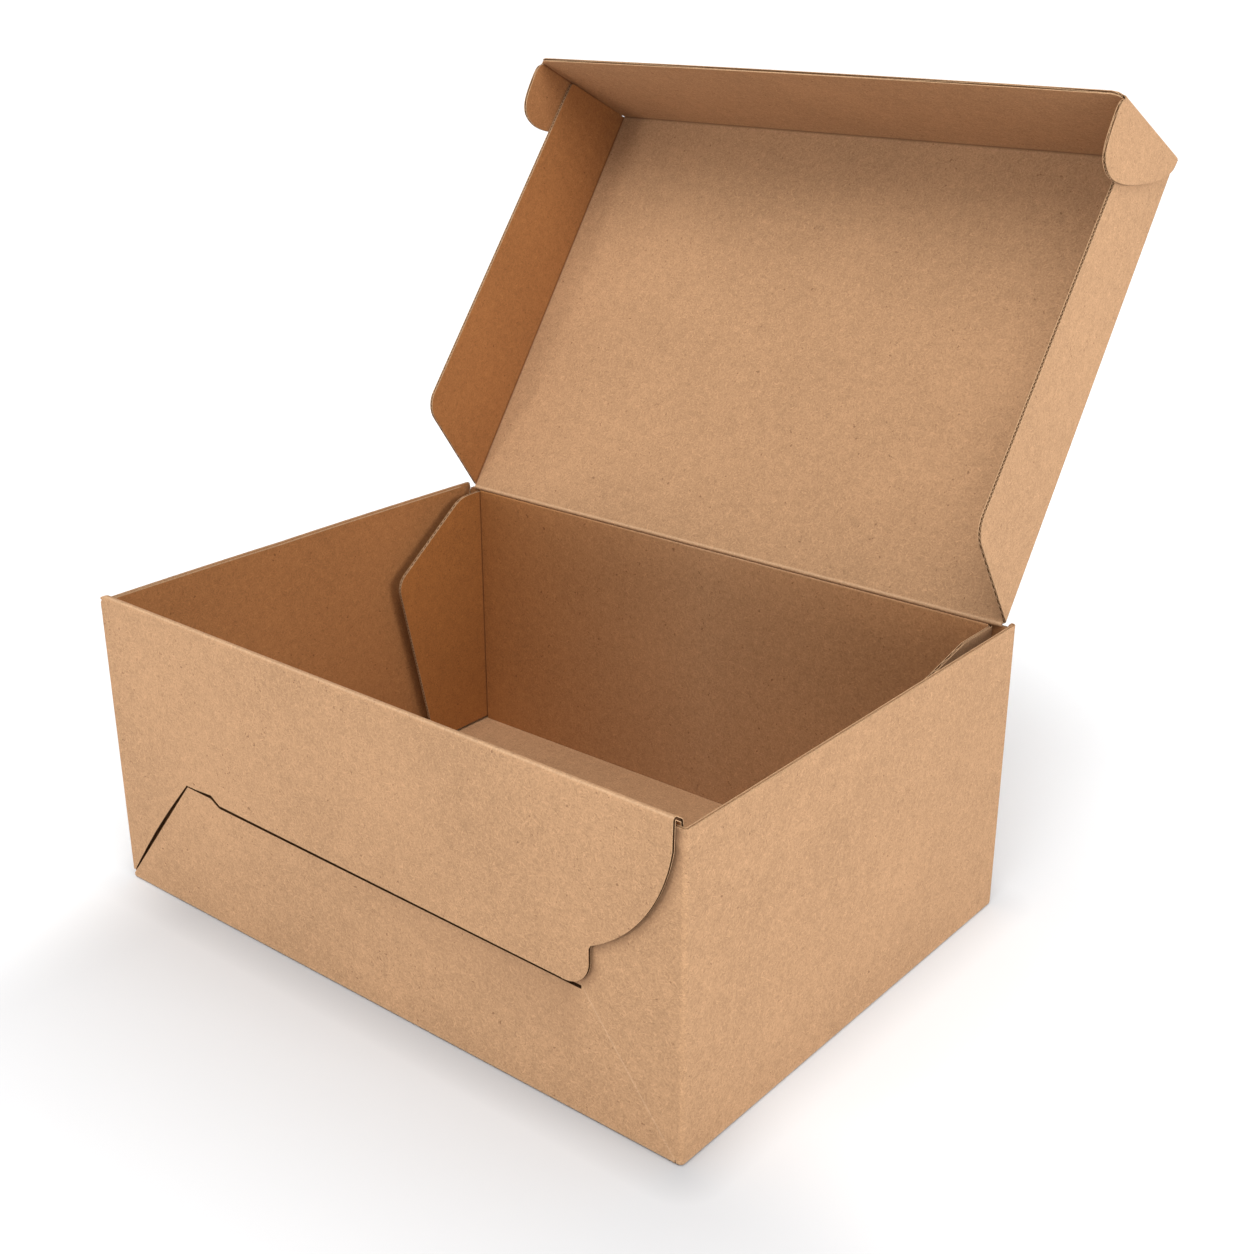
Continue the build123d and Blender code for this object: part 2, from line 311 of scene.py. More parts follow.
class Board:
    """Sheets of board that move together, gathered as one mesh and the lines of their cut edges."""

    def __init__(self, settings):
        self.liner = settings.liner * 1000
        self.channel = settings.channel * 1000
        self.points, self.paper, self.crease, self.inside = [], [], [], []
        self.faces, self.finish = [], []
        self.rim_points, self.rim_edges, self.rim_across, self.rim_phase = [], [], [], []

    def add(self, outline, place, splits=((), ()), joined=always(False), edge_as=always(OPEN),
            phase=along_sheet, crease=always(0.0), pinch=None, tint=always(0.7)):
        """Cut one sheet to its outline, fold it with place(a, b, inwards), and open its cut edges.

        The rest are functions of a place on the flat sheet. joined is true where an edge runs on into another
        sheet, edge_as gives the finish of a cut edge, and phase measures along the flutes' waves. The last
        three paint light and shade. The first marks the outer face, lighter with scuffing and a painted
        highlight where positive and darker with painted shade where negative; the second is painted shade on
        the inner face, lighter where negative, and the third how deep the painted shade over the inner face
        is.
        """
        pinch = pinch or crease
        flat = self._divided(outline, splits)
        corners = [vert.co.xy.copy() for vert in flat.verts]
        count, base = len(corners), len(self.points)

        def put(at, inwards):
            a, b = at
            along = phase(a, b)
            self.points.append(place(a, b, inwards))
            self.paper.append((along / 1000, (a + b - along) / 1000))
            inner = inwards > BOARD * 0.6
            self.crease.append(-pinch(a, b) if inner else crease(a, b))
            self.inside.append(tint(a, b) if inner else 0.0)
            return len(self.points) - 1

        for inwards in (0.0, BOARD):
            for at in corners:
                put(at, inwards)
        for face in flat.faces:
            loop = [vert.index for vert in face.verts]
            self.faces.append([base + i for i in loop])
            self.faces.append([base + count + i for i in reversed(loop)])
            self.finish += [0, 0]

        ahead, inward = {}, {}
        for edge in flat.edges:
            if not edge.is_boundary:
                continue
            loop = edge.link_loops[0]
            i, j = loop.vert.index, loop.link_loop_next.vert.index
            ahead[i] = j
            middle = (corners[i] + corners[j]) / 2
            if not joined(middle.x, middle.y):
                run_on = (corners[j] - corners[i]).normalized()
                inward[i, j] = Vector((-run_on.y, run_on.x))
        behind = {j: i for i, j in ahead.items()}
        rings, rim_at = {}, {}
        for i in ahead:
            sides = [inward[pair] for pair in ((behind[i], i), (i, ahead[i])) if pair in inward]
            if len(sides) == 2:
                step = (sides[0] + sides[1]) / max(1.0 + sides[0].dot(sides[1]), 0.5)
            elif sides:
                step = sides[0]
            else:
                step = Vector((0.0, 0.0))
            inset = corners[i] + step * self.channel
            rings[i] = [
                base + i,
                put(corners[i], self.liner),
                put(inset, self.liner),
                put(inset, BOARD - self.liner),
                put(corners[i], BOARD - self.liner),
                base + count + i,
            ]
            if sides:
                a, b = corners[i] + step * (self.channel * 0.55)
                rim_at[i] = len(self.rim_points)
                self.rim_points.append(place(a, b, BOARD / 2))
                self.rim_across.append((place(a, b, BOARD) - place(a, b, 0.0)).normalized())
                self.rim_phase.append(phase(a, b) / 1000)
        for i, j in ahead.items():
            cut = (i, j) in inward
            kind = edge_as(*((corners[i] + corners[j]) / 2))
            for k in range(5):
                self.faces.append([rings[i][k], rings[j][k], rings[j][k + 1], rings[i][k + 1]])
                if not cut:
                    self.finish.append(0)
                else:
                    self.finish.append(kind[0] if k in (0, 4) else kind[1])
            if cut and kind == OPEN:
                self.rim_edges.append((rim_at[i], rim_at[j]))
        flat.free()

    def add_flap(self, outline, place, route, support=1.0, tint=0.7):
        """Cut and fold a flap whose route starts at the sheet that it runs on from."""
        # The fold takes scuffing with a painted highlight outside and painted shade in its inner corner, and
        # the inner face takes painted shade.
        self.add(
            outline, place, (route.splits(8, support), ()), joined=lambda s, b: s < 0.01, phase=across_sheet,
            crease=lambda s, b: route.crease(s), pinch=lambda s, b: route.pinch(s), tint=always(tint),
        )

    @staticmethod
    def _divided(outline, splits):
        flat = bmesh.new()
        flat.faces.new([flat.verts.new((a, b, 0.0)) for a, b in outline])
        bmesh.ops.remove_doubles(flat, verts=flat.verts[:], dist=1e-4)
        flat.normal_update()
        if flat.faces[:][0].normal.z < 0:
            bmesh.ops.reverse_faces(flat, faces=flat.faces[:])
        bmesh.ops.triangulate(flat, faces=flat.faces[:])
        lines = [((a, 0), (1, 0)) for a in splits[0]] + [((0, b), (0, 1)) for b in splits[1]]
        for at, across in lines + list(splits[2:]):
            everything = flat.verts[:] + flat.edges[:] + flat.faces[:]
            bmesh.ops.bisect_plane(
                flat, geom=everything, dist=1e-5, plane_co=(*at, 0), plane_no=(*across, 0)
            )
        flat.verts.index_update()
        return flat

    def build(self, name, finishes):
        mesh = bpy.data.meshes.new(name)
        mesh.from_pydata([in_frame(point) for point in self.points], [], self.faces)
        mesh.polygons.foreach_set("material_index", self.finish)
        mesh.polygons.foreach_set("use_smooth", [True] * len(self.faces))
        paper = mesh.uv_layers.new(name="paper")
        for loop in mesh.loops:
            paper.data[loop.index].uv = self.paper[loop.vertex_index]
        for name, values in (("crease", self.crease), ("inside", self.inside)):
            mesh.attributes.new(name, "FLOAT", "POINT").data.foreach_set("value", values)
        for finish in finishes:
            mesh.materials.append(finish)
        shell = bmesh.new()
        shell.from_mesh(mesh)
        bmesh.ops.recalc_face_normals(shell, faces=shell.faces[:])
        shell.to_mesh(mesh)
        shell.free()
        mesh.set_sharp_from_angle(angle=radians(32))
        # The loop above leaves name at "inside", so the objects are called inside, inside.001 and so on,
        # and only their meshes are named after the body.
        return new_object(name, mesh)

    def rim_object(self, name):
        """The middle lines of the cut edges, with what the flutes need to know at each point."""
        mesh = bpy.data.meshes.new(name)
        mesh.from_pydata([in_frame(point) for point in self.rim_points], self.rim_edges, [])
        across = mesh.attributes.new("across", "FLOAT_VECTOR", "POINT")
        across.data.foreach_set("vector", [value for vector in self.rim_across for value in vector])
        phase = mesh.attributes.new("phase", "FLOAT", "POINT")
        phase.data.foreach_set("value", self.rim_phase)
        return new_object(name, mesh)


def new_object(name, data):
    made = bpy.data.objects.new(name, data)
    bpy.context.scene.collection.objects.link(made)
    return made


def in_frame(point):
    """From millimetres at the floor's front left corner to metres in the CAD's frame."""
    return ((point.x - WIDTH / 2) / 1000, (point.y - DEPTH / 2) / 1000, point.z / 1000)


def depth_in_wall(z, inwards):
    """How deep a place lies in a wall, whose outer face the rounded fold at the floor draws in."""
    below = max(FLOOR_FOLD - z, 0.0)
    drawn = FLOOR_FOLD - sqrt(max(FLOOR_FOLD ** 2 - below ** 2, 0.0))
    return drawn + inwards * (1 - drawn / BOARD)


FLOOR_SPLITS = [FLOOR_FOLD * k for k in (0.04, 0.16, 0.36, 0.64, 1.0)] + [FLOOR_FOLD + 0.9]


def panel_end_line():
    """The right end of the front's outer panel, as (x, z): its bulge, the notch and the lug."""
    bulge = arc_through((PANEL_TOP_END, 119.0), (283.9, 89.9), (264.8, 73.2), 22)
    lug = arc_through((261.7, 64.3), (258.6, 57.4), (249.0, 54.3), 14)
    return bulge + [Vector((262.6, 71.9)), Vector((261.75, 70.3))] + lug


def wall_crease(z):
    return near(max(z, FLOOR_FOLD), FLOOR_FOLD, 1.0)


class Wires:
    """Builds a node tree: add() takes a node's type, its settings and the values or links of its sockets."""

    def __init__(self, tree):
        self.tree = tree

    def add(self, kind, settings=None, out=0, **sockets):
        node = self.tree.nodes.new(kind)
        for name, value in (settings or {}).items():
            setattr(node, name, value)
        for key, value in sockets.items():
            socket = node.inputs[int(key[1:])] if key[1:].isdigit() else node.inputs[key.replace("_", " ")]
            if isinstance(value, Wire):
                self.tree.links.new(value.socket, socket)
            else:
                socket.default_value = value
        return Wire(self, node.outputs[out]) if len(node.outputs) else node


def maths(operation, swapped=False):
    """A method of Wire that adds a Math node."""
    def method(self, other=0.0):
        first, second = (other, self) if swapped else (self, other)
        return self.wires.add("ShaderNodeMath", {"operation": operation}, i0=first, i1=second)
    return method


class Wire:
    """A socket that can be used in Python arithmetic. Each operation adds its Math node."""

    __add__ = __radd__ = maths("ADD")
    __sub__ = maths("SUBTRACT")
    __rsub__ = maths("SUBTRACT", swapped=True)
    __mul__ = __rmul__ = maths("MULTIPLY")
    __truediv__ = maths("DIVIDE")
    power = maths("POWER")
    at_least = maths("MAXIMUM")
    sine = maths("SINE")
    size = maths("ABSOLUTE")

    def __init__(self, wires, socket):
        self.wires, self.socket = wires, socket

    def clamped(self):
        return self.wires.add("ShaderNodeClamp", i0=self)

    def over(self, low, high):
        """0 below low, 1 above high, smooth between."""
        return self.wires.add(
            "ShaderNodeMapRange", {"interpolation_type": "SMOOTHSTEP"},
            i0=self, i1=low, i2=high, i3=0.0, i4=1.0,
        )


def noise(wires, vector, scale, detail=2.0, roughness=0.5, out=0):
    return wires.add(
        "ShaderNodeTexNoise", {"noise_dimensions": "3D"}, out, Vector=vector, Scale=scale, Detail=detail,
        Roughness=roughness,
    )


def mix_colour(wires, amount, first, second, blend="MIX"):
    settings = {"data_type": "RGBA", "blend_type": blend}
    return wires.add("ShaderNodeMix", settings, out=2, i0=amount, i6=first, i7=second)


def new_material(name):
    """A material's empty tree, and the Object coordinates that its patterns read."""
    material = bpy.data.materials.new(name)
    material.use_nodes = True
    material.node_tree.nodes.clear()
    wires = Wires(material.node_tree)
    return wires, wires.add("ShaderNodeTexCoord", out=3)


def finish_material(wires, colour, roughness, normal=None, specular=0.25):
    sockets = {"Base_Color": colour, "Roughness": roughness, "Specular_IOR_Level": specular}
    if normal is not None:
        sockets["Normal"] = normal
    shader = wires.add("ShaderNodeBsdfPrincipled", **sockets)
    wires.add("ShaderNodeOutputMaterial", Surface=shader)


def opaque(colour):
    return (*colour, 1.0)


def kraft_liner(colours, pitch):
    """The facing paper: cloudy, full of short curled fibres, flecked, with scuffing and painted highlights on
    its folds, and painted shade.
    """
    wires, place = new_material("kraft_liner")
    paper = wires.add("ShaderNodeUVMap", {"uv_map": "paper"})
    crease = wires.add("ShaderNodeAttribute", {"attribute_name": "crease"}, out=2)
    inside = wires.add("ShaderNodeAttribute", {"attribute_name": "inside"}, out=2)
    curl = noise(wires, place, 330.0, 1.0, out=1)
    wander = wires.add(
        "ShaderNodeVectorMath", {"operation": "MULTIPLY_ADD"}, i0=curl, i1=(0.0028, 0.0028, 0.0028), i2=paper
    )
    clouds = noise(wires, place, 16.0, 3.0, 0.6) - 0.5
    blotches = noise(wires, place, 210.0, 3.0, 0.6) - 0.5
    grain = noise(wires, place, 1250.0, 3.0, 0.65) - 0.5
    pale, deep = 0.0, 0.0
    for turn in (0.25, 1.05, 1.85, 2.65):
        way = wires.add(
            "ShaderNodeMapping", {"vector_type": "TEXTURE"},
            i0=wander, i2=(0.0, 0.0, turn), i3=(0.0046, 0.00035, 1.0),
        )
        strand = noise(wires, way, 1.0, 1.0)
        pale = strand.over(0.60, 0.74) + pale
        deep = (1.0 - strand).over(0.62, 0.76) + deep
    tone = clouds * 0.50 + blotches * 0.50 + grain * 1.4 + pale * 0.46 - deep * 0.36 + 0.48
    colour = mix_colour(wires, tone.clamped(), opaque(colours.dark), opaque(colours.light))
    patches = noise(wires, place, 90.0, 1.0).over(0.45, 0.6)
    flecks = noise(wires, place, 560.0, 1.0).over(0.70, 0.76) * patches
    colour = mix_colour(wires, (flecks * 0.8).clamped(), colour, opaque(colours.fleck_and_shade))
    # Scuffing with a painted highlight where the marks are above 0.
    scuff_and_highlight_amount = (crease.clamped().power(1.5) * (grain * 0.8 + 0.50)).clamped()
    colour = mix_colour(wires, scuff_and_highlight_amount, colour, opaque(colours.scuff_and_highlight))
    # Painted shade where the marks are below 0.
    painted_shade = ((crease * -1.0).clamped().power(1.3) * 0.9).clamped()
    colour = mix_colour(wires, painted_shade, colour, opaque(colours.fleck_and_shade))
    # Painted shade over the inner faces, multiplied in with the inside colour.
    tinted = mix_colour(wires, 1.0, colour, opaque(colours.inside), "MULTIPLY")
    colour = mix_colour(wires, inside.clamped(), colour, tinted)
    roughness = 0.86 + grain * 0.14
    washboard = (wires.add("ShaderNodeSeparateXYZ", i0=paper) * (2 * pi / pitch)).sine() * 0.03
    height = pale * 0.35 - deep * 0.2 + grain * 0.8 + blotches * 0.6 + washboard
    bump = wires.add("ShaderNodeBump", Strength=0.40, Distance=0.00012, Height=height)
    finish_material(wires, colour, roughness, bump)


def raw_paper(name, colours, scale, rough, detail, furry):
    """Paper paler than the faces: the facing papers' cut edges, furry from the knife, and the flutes."""
    wires, place = new_material(name)
    fuzz = noise(wires, place, scale, 3.0, detail)
    colour = mix_colour(wires, fuzz.over(0.25, 0.75), opaque(colours.dark), opaque(colours.edge))
    bump = wires.add("ShaderNodeBump", Strength=0.5, Distance=0.0001, Height=fuzz) if furry else None
    finish_material(wires, colour, rough - fuzz * 0.05, bump, 0.15)


def painted_shade_material(name, dark, scale):
    """Painted shade that stands for the inside of the board, seen between its facing papers or in a closed
    cut.
    """
    wires, place = new_material(name)
    patches = noise(wires, place, scale, 2.0, 0.6)
    shade = tuple(value * 1.7 for value in dark)
    colour = mix_colour(wires, patches.over(0.3, 0.7), opaque(dark), opaque(shade))
    finish_material(wires, colour, 0.95 - patches * 0.05, None, 0.1)


def finishes():
    """The board's finishes in the order of a sheet's parts: face, cut edge, painted shade for the flute
    channels and for the cuts, and flutes.
    """
    names = ("kraft_liner", "kraft_cut_edge", "kraft_channel_shade", "kraft_slit_shade", "fluted_paper")
    if names[0] not in bpy.data.materials:
        colours = bpy.context.scene.box_kraft
        kraft_liner(colours, bpy.context.scene.box_board.flute_pitch)
        raw_paper("kraft_cut_edge", colours, 2400.0, 0.93, 0.7, True)
        painted_shade_material("kraft_channel_shade", colours.core, 900.0)
        painted_shade_material("kraft_slit_shade", colours.slit_shade, 500.0)
        raw_paper("fluted_paper", colours, 1800.0, 0.92, 0.6, False)
    return [bpy.data.materials[name] for name in names]


def flute_nodes():
    """A node group that runs a wave of paper along each cut edge, between the two facing papers."""
    tree = bpy.data.node_groups.new("Board flutes", "GeometryNodeTree")
    face = tree.interface
    face.new_socket("Cut edges", in_out="INPUT", socket_type="NodeSocketGeometry")
    for name, usual in (("Pitch", 0.0017), ("Wave height", 0.0004), ("Width", 0.0005), ("Paper", 0.0002)):
        face.new_socket(name, in_out="INPUT", socket_type="NodeSocketFloat").default_value = usual
    face.new_socket("Finish", in_out="INPUT", socket_type="NodeSocketMaterial")
    face.new_socket("Flutes", in_out="OUTPUT", socket_type="NodeSocketGeometry")
    wires = Wires(tree)
    source = tree.nodes.new("NodeGroupInput")
    edges, pitch, height, width, paper, finish = [Wire(wires, source.outputs[i]) for i in range(6)]
    across = wires.add("GeometryNodeInputNamedAttribute", {"data_type": "FLOAT_VECTOR"}, Name="across")
    phase = wires.add("GeometryNodeInputNamedAttribute", {"data_type": "FLOAT"}, Name="phase")
    curve = wires.add("GeometryNodeMeshToCurve", i0=edges)
    curve = wires.add("GeometryNodeResampleCurve", {"mode": "LENGTH"}, Curve=curve, Length=pitch / 6)
    wave = (phase * (2 * pi) / pitch).sine() * height
    offset = wires.add("ShaderNodeVectorMath", {"operation": "SCALE"}, i0=across, Scale=wave)
    curve = wires.add("GeometryNodeSetPosition", Geometry=curve, Offset=offset)
    curve = wires.add("GeometryNodeSetCurveNormal", {"mode": "FREE"}, Curve=curve, Normal=across)
    section = wires.add("GeometryNodeCurvePrimitiveQuadrilateral", Width=paper, Height=width)
    strip = wires.add("GeometryNodeCurveToMesh", Curve=curve, Profile_Curve=section, Fill_Caps=True)
    strip = wires.add("GeometryNodeRealizeInstances", i0=strip)
    strip = wires.add("GeometryNodeSetMaterial", Geometry=strip, Material=finish)
    target = tree.nodes.new("NodeGroupOutput")
    tree.links.new(strip.socket, target.inputs[0])
    return tree


class BOX_OT_tray_walls(bpy.types.Operator):
    """Fold the floor, the right wall with the front's lower panel, the back wall and the left inner ply"""

    bl_idname = "box.tray_walls"
    bl_label = "Tray Walls and Floor"

    def execute(self, context):
        settings = context.scene.box_board
        board = boards["tray"] = Board(settings)
        bow = settings.wall_bow * 1000

        # The right wall, which goes on round both its corners: as the front's sheet and as a rear tab.
        route = Route((0, 0), [
            run(WIDTH - RIGHT_CORNER), bend(90, RIGHT_CORNER), run(DEPTH - RIGHT_CORNER - REAR_CORNER),
            bend(90, REAR_CORNER), run(REAR_TAB - REAR_CORNER),
        ])
        tab_from = route.length - REAR_TAB + LEFT_WALL

        def wrap(s, z, inwards):
            x, y = route.at(s, depth_in_wall(z, inwards))
            return Vector((x, y, z))

        # The mark that the sheet took when the lug was pressed home, from the cut's end to the bottom corner.
        mark_line = Vector((297.4, 1.4)) - CUT_END
        mark_way = mark_line.normalized()
        mark_across = Vector((-mark_way.y, mark_way.x))
        mark_reach = 0.7

        def mark(s, z):
            beyond = Vector((s, z)) - CUT_END
            if not -1.0 < beyond.dot(mark_way) < mark_line.length:
                return 0.0
            return near(beyond.dot(mark_across), 0.0, mark_reach) * 0.55

        mark_lines = [(CUT_END + mark_across * off, mark_across) for off in (-mark_reach, 0.0, mark_reach)]

        # Painted shadow that the end of the outer panel casts on the sheet under it.
        panel_end = panel_end_line()

        def panel_end_shadow(s, z):
            if not (242 < s < 304 and 48 < z < 133):
                return 0.0
            away = min((Vector((s, z)) - at).length for at in panel_end + [Vector((PANEL_TOP_END, 125.0))])
            return near(away, 0.0, 4.8) * 0.85

        panel_end_shadow_splits = (steps_between(246, 303, 2.5), steps_between(51, HEIGHT, 2.5))

        # Painted shade in the cut edges along the front's lock and slit, and in the notch at the bottom
        # corner.
        def edge_as(s, z):
            if 2.0 < z < 60 and s < 257.5 or z < 2.0 and 296.5 < s < 298.0:
                return ALL_SHADED
            return PLAIN if z > HEIGHT - 0.1 else OPEN

        outline = rounded([
            (1.25, 0.0), (297.0, 0.0), (297.1, 1.9), (297.35, 1.9), (297.45, 0.0), (route.length, 0.0),
            (route.length, BACK_TOP, 2.5), (tab_from, BACK_TOP), (tab_from - 1.0, HEIGHT, 0.6),
            (240.0, HEIGHT), (240.0, 53.4), (257.0, 53.3), (256.9, 51.8, 0.3), (66.5, 55.4, 3.0),
            (61.5, 58.2, 2.0), (LOCK_APEX.x, 58.5, 0.9), LOCK_FOOT,
        ])
        # Scuffing with a painted highlight along the floor's fold, the lug's own mark, the painted shadow
        # from the panel's end, and painted shade in the inner corners.
        board.add(
            outline, wrap,
            (route.splits() + panel_end_shadow_splits[0], FLOOR_SPLITS + panel_end_shadow_splits[1], *mark_lines),
            joined=lambda s, z: z < 0.02,
            edge_as=edge_as,
            crease=lambda s, z: max(wall_crease(z) * 0.4, mark(s, z)) - panel_end_shadow(s, z),
            pinch=lambda s, z: max(route.pinch(s), wall_crease(z)),
        )

        # The left wall's inner ply, which stands a little free of the outer one and bows with it.
        def inner_ply(y, z, inwards):
            return Vector((1.9 + inwards - left_bow(bow, y, z), y, z))

        # Painted shade in its corner at the floor and over its inner face.
        board.add(
            rounded([
                (1.7, 1.4), (209.0, 1.4), (209.0, HEIGHT - 0.3, 2.2), (95.0, HEIGHT - 0.3),
                (1.7, HEIGHT + 1.5, 0.5),
            ]), inner_ply,
            (steps_between(0, DEPTH, 9), steps_between(0, HEIGHT, 16)),
            joined=lambda y, z: z < 1.5, edge_as=always(PLAIN), pinch=lambda y, z: wall_crease(z),
            tint=always(0.8),
        )

        # The back wall, rounded at the floor and along its top, where the lid's fold begins.
        top_radius, top_start = 0.3, BACK_TOP - 0.25

        def back_wall(x, z, inwards):
            if z > top_start:
                drawn = top_radius - sqrt(max(top_radius ** 2 - (z - top_start) ** 2, 0.0))
                inwards = drawn + inwards * (1 - 2 * drawn / BOARD)
            else:
                inwards = depth_in_wall(z, inwards)
            return Vector((x, DEPTH - BOARD - inwards, z))

        def back_tint(x, z):
            """Painted shade over the inner face: deepest at the left end and faintest in the middle."""
            middle = WIDTH / 2
            return 0.32 + 0.68 * max(1 - x / middle, 0.0) + 0.3 * max(x / middle - 1, 0.0)

        top_splits = [BACK_TOP - 1.2, BACK_TOP - 0.7] + [top_start + 0.06 * k for k in range(4)]
        # Painted shade in the corner at the floor; along the top, scuffing with a painted highlight inside
        # and painted shade outside.
        board.add(
            rounded([(11.0, 0.0), (289.0, 0.0), (289.0, BACK_TOP), (11.0, BACK_TOP)]), back_wall,
            ([60.0, 110.0, 150.0, 190.0, 240.0], FLOOR_SPLITS + top_splits),
            joined=always(True), phase=across_sheet,
            crease=lambda x, z: -near(z, BACK_TOP - 0.2, 0.9),
            pinch=lambda x, z: wall_crease(z) - near(z, BACK_TOP - 0.2, 0.9),
            tint=back_tint,
        )

        # The floor, with light painted shade over its inner face.
        board.add(
            rounded([(1.2, 1.2), (298.8, 1.2), (298.8, 212.6), (1.2, 212.6)]),
            lambda x, y, inwards: Vector((x, y, inwards)),
            joined=always(True), phase=across_sheet, tint=always(0.12),
        )
        return {"FINISHED"}


def left_bow(bow, y, z):
    """How far the left wall has bowed out at a place. Its ends and its foot stay where they are."""
    return bow * sin(pi * min(max(y / DEPTH, 0.0), 1.0)) * (max(z, 0.0) / HEIGHT) ** 1.5


class BOX_OT_front_lock(bpy.types.Operator):
    """Fold the left wall with the front's outer panel, the top fold and the inner front layer"""

    bl_idname = "box.front_lock"
    bl_label = "Left Wall and Front Lock"

    def execute(self, context):
        settings = context.scene.box_board
        board = boards["tray"]
        bow = settings.wall_bow * 1000
        slot_bow, bowed_length, bowed_height = 0.9, 60.0, 76.0
        panel_way = Vector((-cos(PANEL_TURN), sin(PANEL_TURN)))
        panel_in = Vector((sin(PANEL_TURN), cos(PANEL_TURN)))
        start = panel_way * -PANEL_END
        turn = pi / 2 - PANEL_TURN
        corner_reach = LEFT_CORNER * tan(turn / 2)
        route = Route((0, 0), [
            run(PANEL_END - corner_reach), ("bend", turn, LEFT_CORNER),
            run(DEPTH - corner_reach - REAR_CORNER), bend(90, REAR_CORNER), run(REAR_TAB - REAR_CORNER),
        ])
        corner_start, corner_end = route.bends[0]
        tab_from = route.length - REAR_TAB + LEFT_WALL

        fold_z = FRONT_TOP - BOARD

        def wrap(s, z, inwards):
            u, v = route.at(s, depth_in_wall(z, inwards) if s > corner_start else inwards)
            if s < bowed_length and z < fold_z:
                v -= slot_bow * (1 - s / bowed_length) ** 2 * sin(pi * (fold_z - z) / bowed_height)
            x, y = start + panel_way * u + panel_in * v
            return Vector((x - left_bow(bow, y, z), y, z))

        def from_right(x):
            return PANEL_END - x

        # Painted shade in the middle of the outer panel's cut edges, and throughout them along the lock.
        def edge_as(s, z):
            if s < corner_start:
                return ALL_SHADED if s > from_right(66.0) and z < 61.5 else SHADED_MIDDLE
            return PLAIN

        panel = [(PANEL_TOP_END, fold_z)] + panel_end_line()
        panel += [(67.5, 57.1), (64.4, 59.0), (62.6, 60.2), (58.5, 59.9), (53.0, 59.5), (46.6, 59.4)]
        slot = LOCK_APEX - LOCK_FOOT
        slot_across = Vector((-slot.y, slot.x)).normalized()
        for along in (0.98, 0.88, 0.75, 0.6, 0.45, 0.3, 0.15, 0.03):
            opened = 0.45 + 1.25 * sin(pi * along)
            panel.append(LOCK_FOOT.lerp(LOCK_APEX, along) + slot_across * opened)
        outline = [(from_right(x), z) for x, z in panel]
        outline += [
            (corner_end, 3.2), (corner_end, 0.0), (route.length, 0.0), (route.length, BACK_TOP),
            (tab_from, BACK_TOP), (tab_from - 1.2, BACK_TOP - 5.5), (tab_from - 2.4, HEIGHT - 0.4),
            (tab_from - 3.4, HEIGHT), (corner_end + 95.0, HEIGHT), (corner_end + 1.5, HEIGHT + 1.4),
            (corner_end, HEIGHT + 1.1), (corner_start + 1.1, HEIGHT + 0.7),
            (corner_start + 0.2, HEIGHT + 0.8), (corner_start - 0.4, fold_z),
        ]
        bowed_splits = steps_between(0, bowed_length, 5)
        bowed_splits += steps_between(corner_end + 2, corner_end + DEPTH - 6, 9)
        # Scuffing with a painted highlight along the corner's fold and the floor's fold.
        board.add(
            outline, wrap,
            (route.splits() + bowed_splits, FLOOR_SPLITS + steps_between(7, fold_z, 8)),
            joined=lambda s, z: z < 0.02 or z > fold_z - 0.1,
            edge_as=edge_as,
            phase=lambda s, z: z if s < corner_start else s,
            crease=lambda s, z: max(
                route.crease(s) * 0.35, wall_crease(z) * 0.4 if s > corner_start else 0.0
            ),
            pinch=always(0.0),
        )

        # The fold along the top of the front, and the layer that it brings down inside.
        slant = radians(125.4)
        first, second = 1.55, 2.0
        reach = first * (1 - cos(slant))
        last = second * (cos(slant) + 1)
        slope = (INNER_LAYER - reach - last) / sin(slant)
        down = fold_z + first * sin(slant) + slope * cos(slant) - second * sin(slant)
        top = Route((fold_z, 0), [
            ("bend", slant, first), run(slope), ("bend", pi - slant, second), run(down - 0.8),
        ])
        forward, inside = Vector((cos(PANEL_TURN), -sin(PANEL_TURN), 0)), Vector((*panel_in, 0))

        def arch(s, x, inwards):
            z, y = top.at(s, inwards * 0.98)
            return forward * x + inside * y + UP * z

        ridge_end = top.bends[0][1]
        left_end = [
            (first * asin(min(rise / first, 1.0)), 4.0 - sqrt(max(4.0 ** 2 - (rise + 2.4) ** 2, 0.0)))
            for rise in (0.0, 0.5, 0.9, 1.2, 1.4, 1.5)
        ]
        layer_left, layer_right = 4.2, 296.4
        layer = left_end + [(ridge_end, 3.9), (ridge_end + slope, layer_left), (top.length, layer_left)]
        layer += [(top.length, layer_right), (ridge_end + slope, layer_right)]
        layer += [(ridge_end + 0.6, PANEL_TOP_END), (ridge_end, PANEL_TOP_END - 0.1), (0.0, PANEL_TOP_END)]
        # Scuffing with a painted highlight along the top of the fold, and painted shade in the middle of the
        # layer's cut edges.
        board.add(
            layer, arch, (top.splits(10, 0.8), ()),
            joined=lambda s, x: s < 0.01, edge_as=always(SHADED_MIDDLE),
            crease=lambda s, x: near(s, 1.5, 0.75) * 0.8,
        )
        piece = board.build("tray_board", finishes()[:4])
        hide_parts("tray")
        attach(piece, "tray")
        return {"FINISHED"}


